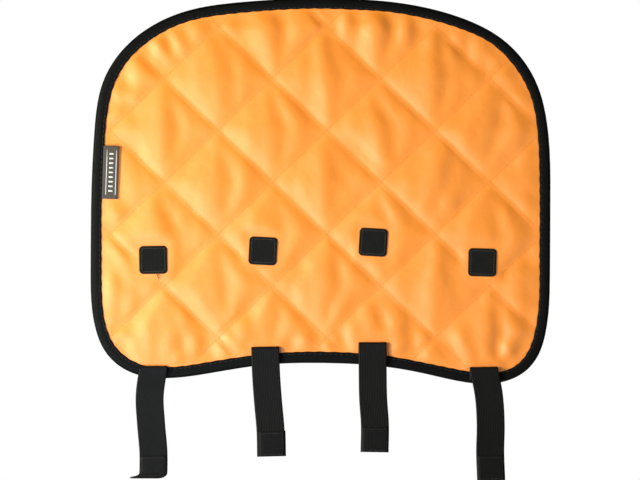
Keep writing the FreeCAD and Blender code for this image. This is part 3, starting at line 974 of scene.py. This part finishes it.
def stitch_box(name, body, path, low, high, lift, side):
    """A rectangle of stitches on one side of a strap, between two distances along it."""
    rows = box_row(STRAP_SEAM_WIDTH, low, high, STRAP_STITCH_PITCH)
    place, across, normal = path.frames_at(rows[:, 1])
    way = np.where(rows[:, 2:] > 0.5, across, np.cross(normal, across))
    centres = place + across * rows[:, :1] + normal * lift
    piece = stitches(name, centres, way, normal * side, STRAP_STITCH, SMALL_THREAD)
    finish_piece(piece, body, "black_thread", name)


def hook_field(path, start, lift, number):
    """Rows of small bent hooks over the hook tape."""
    half = STRAP_WIDTH / 2 - HOOK_MARGIN
    columns = np.arange(-half, half, HOOK_ACROSS)
    rows = np.arange(start + HOOK_ROWS_START, path.length - HOOK_ROWS_END, HOOK_ALONG)
    spots = np.array([(across + (HOOK_OFFSET if k % 2 else -HOOK_OFFSET), run)
                      for k, run in enumerate(rows) for across in columns])
    place, across, normal = path.frames_at(spots[:, 1])
    base = place + across * spots[:, :1] + normal * lift
    way = np.where((np.arange(len(spots)) % 2 == 0)[:, None], across, -across)
    deep = np.cross(normal, across)
    rings = []
    for k, (reach, height) in enumerate(HOOK_STEM):
        size = HOOK_TIP if k == len(HOOK_STEM) - 1 else HOOK_THICK
        lean = math.pi / 2 * k / (len(HOOK_STEM) - 1)
        side = way * math.cos(lean) - normal * math.sin(lean)
        middle = base + way * reach + normal * height
        for corner in range(4):
            angle = TAU * (corner + 0.5) / 4
            rings.append(middle + size * (side * math.cos(angle) + deep * math.sin(angle)))
    points = np.stack(rings, axis=1)
    faces = repeated(tube_faces(len(HOOK_STEM), 4), len(rings), len(spots))
    return mesh_piece(f"hooks_{number}", points.reshape(-1, 3), faces, points[..., [0, 2]].reshape(-1, 2))


def make_strap(number):
    path = StrapPath(number)
    body = f"strap_{number}"
    half = STRAP_THICKNESS / 2
    strap = ribbon(body, path, strap_runs(path), STRAP_WIDTH, -half, half, ribs=RIBS)
    finish_piece(strap, None, "strap_webbing", f"strap_root_{number}", f"strap_tail_{number}")
    start, end = (TAB_MIDDLE - BLEND_MARGIN) * MM, (TAIL_MIDDLE + BLEND_MARGIN) * MM
    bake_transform(strap)

    start = path.length - HOOK_LENGTH
    runs = np.linspace(start, path.length - TIP_GAP, HOOK_TAPE_STEPS)
    hook = ribbon(f"hook_tape_{number}", path, runs, STRAP_WIDTH - HOOK_TAPE_NARROWER, STRAP_BASE,
                  STRAP_BASE + HOOK_TAPE_THICKNESS, edge=HOOK_EDGE, shift=HOOK_SHIFTS.get(number, 0.0))
    join(hook, hook_field(path, start, STRAP_BASE + HOOK_TAPE_THICKNESS - HOOK_SINK, number))
    finish_piece(hook, body, "hook_tape", f"hook_tape_{number}")
    stitch_box(f"hook_stitching_{number}", body, path, start + HOOK_SEAM_INSET, path.length - HOOK_SEAM_INSET,
               STRAP_BASE + HOOK_TAPE_THICKNESS + THREAD_LIFT, 1)
    stitch_box(f"root_stitching_{number}", "panel", path, ROOT_SEAM_START, path.tab - ROOT_SEAM_END,
               -STRAP_BASE, -1)


# Label

LABEL_WIDTH, LABEL_HEIGHT, LABEL_THICKNESS = 10.5, 38.0, 0.5
LABEL_LEAN, LABEL_LIFT = 2.0, 3.8  # degrees, in the panel and off it
LABEL_ROOT, LABEL_TUCK = 0.7, 0.9  # how much of it is caught under the binding, and how far that goes back
LABEL_SWAY, SWAY_FADE = 0.2, 6.0
MARK_FRONT, MARK_BACK = 0.06, 0.05  # how far the marks stand out of the label and sink into it
RULE_HEIGHT, BAR_HEIGHT, BAR_PITCH, BAR_COUNT = 16.0, 0.55, 3.3, 9
RULES, BAR = ((2.0, 2.5), (8.8, 9.3)), (4.0, 7.2)  # from and to, across the label


def label_surface(s, t):
    """A point on the label's middle: s from its root to its free edge, t up its height."""
    hinge = hinge_place("label")
    tuck = np.where(s < 0, LABEL_TUCK * smooth(-s / LABEL_ROOT), 0.0)
    sway = LABEL_SWAY * np.sin(math.pi * t / LABEL_HEIGHT * 1.6 + 0.6) * smooth(s / SWAY_FADE)
    lift = s.clip(0) * math.tan(math.radians(LABEL_LIFT)) + sway
    lean = math.radians(LABEL_LEAN)
    x = s * math.cos(lean) + t * math.sin(lean)
    z = t * math.cos(lean) - s * math.sin(lean)
    return hinge + np.stack([x, tuck - lift, z], axis=-1)


def label_sheet(name, s_values, t_values, front, back):
    """A sheet on the label, between two distances in front of its middle."""
    s, t = (g.ravel() for g in np.meshgrid(s_values, t_values, indexing="ij"))
    middle = label_surface(s, t)
    return grid_slab(name, len(s_values), len(t_values), shifted(middle, -front), shifted(middle, -back),
                     np.stack([s, t], axis=1))


def label_marks():
    """A plain woven pattern, two long rules and short bars between them, as low and high s and t."""
    marks = [(*rule, -RULE_HEIGHT, RULE_HEIGHT) for rule in RULES]
    for k in range(BAR_COUNT):
        t = BAR_PITCH * (k - (BAR_COUNT - 1) / 2)
        marks.append((*BAR, t - BAR_HEIGHT, t + BAR_HEIGHT))
    return marks


def make_label():
    s_values = np.concatenate([np.linspace(-LABEL_ROOT, 0, 6), np.linspace(0.3, LABEL_WIDTH, 20)])
    t_values = np.linspace(-LABEL_HEIGHT / 2, LABEL_HEIGHT / 2, 60)
    half = LABEL_THICKNESS / 2
    label = label_sheet("side_label", s_values, t_values, half, -half)
    finish_piece(label, None, "label_cloth", "side_label")
    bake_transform(label)
    marks = []
    for low_s, high_s, low_t, high_t in label_marks():
        s_values, t_values = np.linspace(low_s, high_s, 4), np.linspace(low_t, high_t, 5)
        marks.append(label_sheet("label_marks", s_values, t_values, half + MARK_FRONT, half - MARK_BACK))
    for mark in marks[1:]:
        join(marks[0], mark)
    marks[0].name = "label_weave_bars"
    finish_piece(marks[0], "label", "label_bars")


# Materials

def node_tree(name):
    material = bpy.data.materials.new(name)
    material.use_nodes = True
    tree = material.node_tree
    return material, tree, tree.nodes["Principled BSDF"]


def feed(tree, node, inputs):
    """Sets a node's inputs to values or to other nodes' outputs."""
    for key, value in inputs.items():
        if isinstance(value, bpy.types.NodeSocket):
            tree.links.new(value, node.inputs[key])
        else:
            node.inputs[key].default_value = value


def add(tree, kind, inputs, **properties):
    node = tree.nodes.new("ShaderNode" + kind)
    for key, value in properties.items():
        setattr(node, key, value)
    feed(tree, node, inputs)
    return node


def maths(tree, operation, a, b):
    return add(tree, "Math", {0: a, 1: b}, operation=operation).outputs[0]


def wave(tree, place, pitch, direction):
    """A sine ripple of the given pitch in mm along U or V, 0 to 1."""
    node = add(tree, "TexWave", {"Vector": place, "Scale": TAU / (20 * pitch * MM)},
               wave_type="BANDS", bands_direction=direction, wave_profile="SIN")
    return node.outputs["Fac"]


def cloud(tree, place, size, detail):
    """Noise with features of the given size in mm, 0 to 1."""
    inputs = {"Vector": place, "Scale": 1 / (size * MM), "Detail": detail}
    return add(tree, "TexNoise", inputs).outputs["Fac"]


GRAIN_SIZE, CREASE_SIZE, SPOT_SIZE, BLOTCH_SIZE = 0.8, 9.0, 2.5, 45.0


def cloth_material(name, color, roughness, sheen, weave, depth, blotch=0.12, fuzz=0.0, crumple=0.0,
                   specular=0.3, ior=1.5, specular_tint=(1, 1, 1), sheen_tint=(1, 1, 1)):
    """Woven cloth: thread ripples both ways, soft colour blotches, a little sheen. Sizes are in mm."""
    material, tree, shader = node_tree(name)
    place = add(tree, "UVMap", {}, uv_map="cloth").outputs["UV"]
    across, along = wave(tree, place, weave[0], "X"), wave(tree, place, weave[1], "Y")
    threads = maths(tree, "MULTIPLY", across, along)
    grain = cloud(tree, place, GRAIN_SIZE, 4.0)
    relief = maths(tree, "ADD", threads, maths(tree, "MULTIPLY", grain, 0.6 + fuzz * 3))
    bump = add(tree, "Bump", {"Strength": 0.6, "Distance": depth * MM, "Height": relief})
    if crumple:
        soft = cloud(tree, place, CREASE_SIZE, 2.0)
        creases = add(tree, "Bump", {"Strength": 1.0, "Distance": crumple * MM, "Height": soft})
        feed(tree, bump, {"Normal": creases.outputs["Normal"]})
    large, small = cloud(tree, place, BLOTCH_SIZE, 2.0), cloud(tree, place, SPOT_SIZE, 3.0)
    shade = maths(tree, "ADD", maths(tree, "MULTIPLY", large, blotch),
                  maths(tree, "MULTIPLY", small, blotch * 0.6))
    shade = maths(tree, "ADD", shade, maths(tree, "MULTIPLY", threads, blotch * 0.5))
    bright = maths(tree, "ADD", shade, 1 - blotch * 1.05)
    tinted = add(tree, "VectorMath", {0: color, "Scale": bright}, operation="SCALE")
    rough = maths(tree, "ADD", maths(tree, "MULTIPLY", small, 0.15), roughness - 0.07)
    feed(tree, shader, {
        "Base Color": tinted.outputs[0], "Roughness": rough, "Normal": bump.outputs["Normal"],
        "Specular IOR Level": specular, "IOR": ior, "Specular Tint": (*specular_tint, 1),
        "Sheen Weight": sheen, "Sheen Roughness": 0.45, "Sheen Tint": (*sheen_tint, 1)})
    return material


THREAD = ((0.3, 0.3), 0.03)
# Colour, roughness, sheen, weave pitch both ways and relief.
LOOKS = {
    "face_cloth": ((0.92, 0.258, 0.003), 0.56, 0.02, (0.7, 0.7), 0.04),
    "liner_cloth": ((0.010, 0.010, 0.011), 0.55, 0.1, (0.5, 0.5), 0.04),
    "wadding": ((0.75, 0.73, 0.68), 0.95, 0.4, (2.0, 2.0), 0.3),
    "binding_tape": ((0.0015, 0.0015, 0.0015), 0.5, 0.0, (0.8, 0.5), 0.12),
    "black_thread": ((0.012, 0.012, 0.013), 0.5, 0.1, *THREAD),
    "patch_thread": ((0.06, 0.06, 0.062), 0.5, 0.3, *THREAD),
    "tail_thread": ((0.16, 0.06, 0.01), 0.6, 0.2, *THREAD),
    "orange_thread": ((0.88, 0.23, 0.004), 0.55, 0.05, *THREAD),
    "liner_thread": ((0.02, 0.02, 0.022), 0.5, 0.3, *THREAD),
    "pile_tape": ((0.003, 0.003, 0.0032), 0.95, 0.06, (1.1, 0.9), 0.3),
    "hook_tape": ((0.003, 0.003, 0.0035), 0.6, 0.03, (1.1, 1.2), 0.1),
    "strap_webbing": ((0.002, 0.002, 0.002), 0.55, 0.03, (1.2, 0.7), 0.12),
    "label_cloth": ((0.055, 0.045, 0.040), 0.6, 0.3, (0.4, 0.4), 0.05),
    "label_bars": ((0.62, 0.62, 0.60), 0.6, 0.3, (0.4, 0.4), 0.05),
}
EXTRAS = {
    "face_cloth": {"blotch": 0.08, "crumple": 0.3, "specular": 0.85, "ior": 1.62,
                   "specular_tint": (1.0, 0.96, 0.9), "sheen_tint": (1.0, 0.85, 0.7)},
    "wadding": {"fuzz": 0.4}, "pile_tape": {"fuzz": 0.5}, "orange_thread": {"specular": 1.0},
    "binding_tape": {"specular": 0.1}, "hook_tape": {"specular": 0.15}, "strap_webbing": {"specular": 0.15},
}
MATERIALS = {name: cloth_material(name, *look, **EXTRAS.get(name, {})) for name, look in LOOKS.items()}


# Studio, in metres

CAMERA_DISTANCE, FRAME_WIDTH = 3.0, 0.457
SENSOR_WIDTH = 36.0  # mm
VIEW_CENTRE = (-0.00036, -0.0354)
FLOOR_LEVEL, FLOOR_LIFT = -0.262, 0.42
FLOOR_RINGS, FLOOR_SPOKES, FLOOR_RADIUS = 12, 96, 0.75
FADE_START, FADE_END = 0.36, 0.74
WORLD_LIGHT = 0.12
WHITE = (1, 1, 1, 1)
# Place, diameter, power and colour of each light, all aimed at the middle of the pad.
LIGHTS = {
    "key": ((-0.86, -0.68, 0.0), 0.28, 16, (1.0, 0.95, 0.7)),
    "fill": ((0.8, -1.0, -0.6), 1.0, 5, (1.0, 0.95, 0.78)),
    "front": ((-0.27, -0.50, -0.30), 0.2, 4.0, (0.5, 0.7, 1.0)),
    "back": ((0.8, 1.4, 0.8), 1.2, 16, (1, 1, 1)),
}


def make_light(name, place, size, power, color):
    data = bpy.data.lights.new(name, "AREA")
    data.shape = "DISK"
    data.size = size
    data.energy = power
    data.color = color
    light = new_object(name, data)
    light.location = place
    light.rotation_euler = (-Vector(place)).to_track_quat("-Z", "Y").to_euler()


def make_world():
    """White to the camera, a softer grey as a light."""
    world = bpy.data.worlds.new("studio")
    world.use_nodes = True
    tree = world.node_tree
    tree.nodes.clear()
    seen = add(tree, "Background", {"Strength": 1.0, "Color": WHITE})
    lit = add(tree, "Background", {"Strength": WORLD_LIGHT, "Color": WHITE})
    ray = add(tree, "LightPath", {}).outputs["Is Camera Ray"]
    choose = add(tree, "MixShader", {"Fac": ray, 1: lit.outputs[0], 2: seen.outputs[0]})
    add(tree, "OutputWorld", {"Surface": choose.outputs[0]})
    bpy.context.scene.world = world


def make_floor():
    """A pale round floor that fades into the white surround."""
    points = [(0, 0, FLOOR_LEVEL)]
    for ring in range(1, FLOOR_RINGS + 1):
        reach = FLOOR_RADIUS * ring / FLOOR_RINGS
        for k in range(FLOOR_SPOKES):
            angle = TAU * k / FLOOR_SPOKES
            points.append((reach * math.cos(angle), reach * math.sin(angle), FLOOR_LEVEL))
    faces = [(0, 1 + k, 1 + (k + 1) % FLOOR_SPOKES) for k in range(FLOOR_SPOKES)]
    outer = grid_faces(FLOOR_RINGS, FLOOR_SPOKES, close_columns=True)
    faces += [(1 + a, 1 + d, 1 + c, 1 + b) for a, b, c, d in outer]
    floor = mesh_piece("floor", np.array(points) / MM, faces)
    material, tree, shader = node_tree("floor")
    place = add(tree, "TexCoord", {}).outputs["Object"]
    length = add(tree, "VectorMath", {0: place}, operation="LENGTH").outputs["Value"]
    fade = add(tree, "MapRange", {"Value": length, "From Min": FADE_START, "From Max": FADE_END,
                                  "To Min": 1.0, "To Max": 0.0}, interpolation_type="SMOOTHSTEP")
    lift = maths(tree, "MULTIPLY", add(tree, "LightPath", {}).outputs["Is Camera Ray"], FLOOR_LIFT)
    feed(tree, shader, {"Base Color": (0.9, 0.9, 0.9, 1), "Roughness": 0.8, "Alpha": fade.outputs[0],
                        "Emission Color": WHITE, "Emission Strength": lift})
    floor.data.materials.append(material)


def make_camera():
    data = bpy.data.cameras.new("camera")
    data.sensor_width = SENSOR_WIDTH
    data.lens = SENSOR_WIDTH * CAMERA_DISTANCE / FRAME_WIDTH
    data.clip_end = 50
    camera = new_object("camera", data)
    camera.location = (VIEW_CENTRE[0], -CAMERA_DISTANCE, VIEW_CENTRE[1])
    camera.rotation_euler = (math.pi / 2, 0, 0)
    bpy.context.scene.camera = camera


def make_studio():
    make_world()
    make_floor()
    for name, light in LIGHTS.items():
        make_light(name, *light)
    make_camera()
    bpy.context.scene.view_settings.view_transform = "Standard"


make_panel_layers()
make_quilting()
make_binding()
make_binding_stitches()
for strap_number in STRAP_NUMBERS:
    make_patch(strap_number)
    make_strap(strap_number)
make_thread_tail()
make_label()
make_studio()
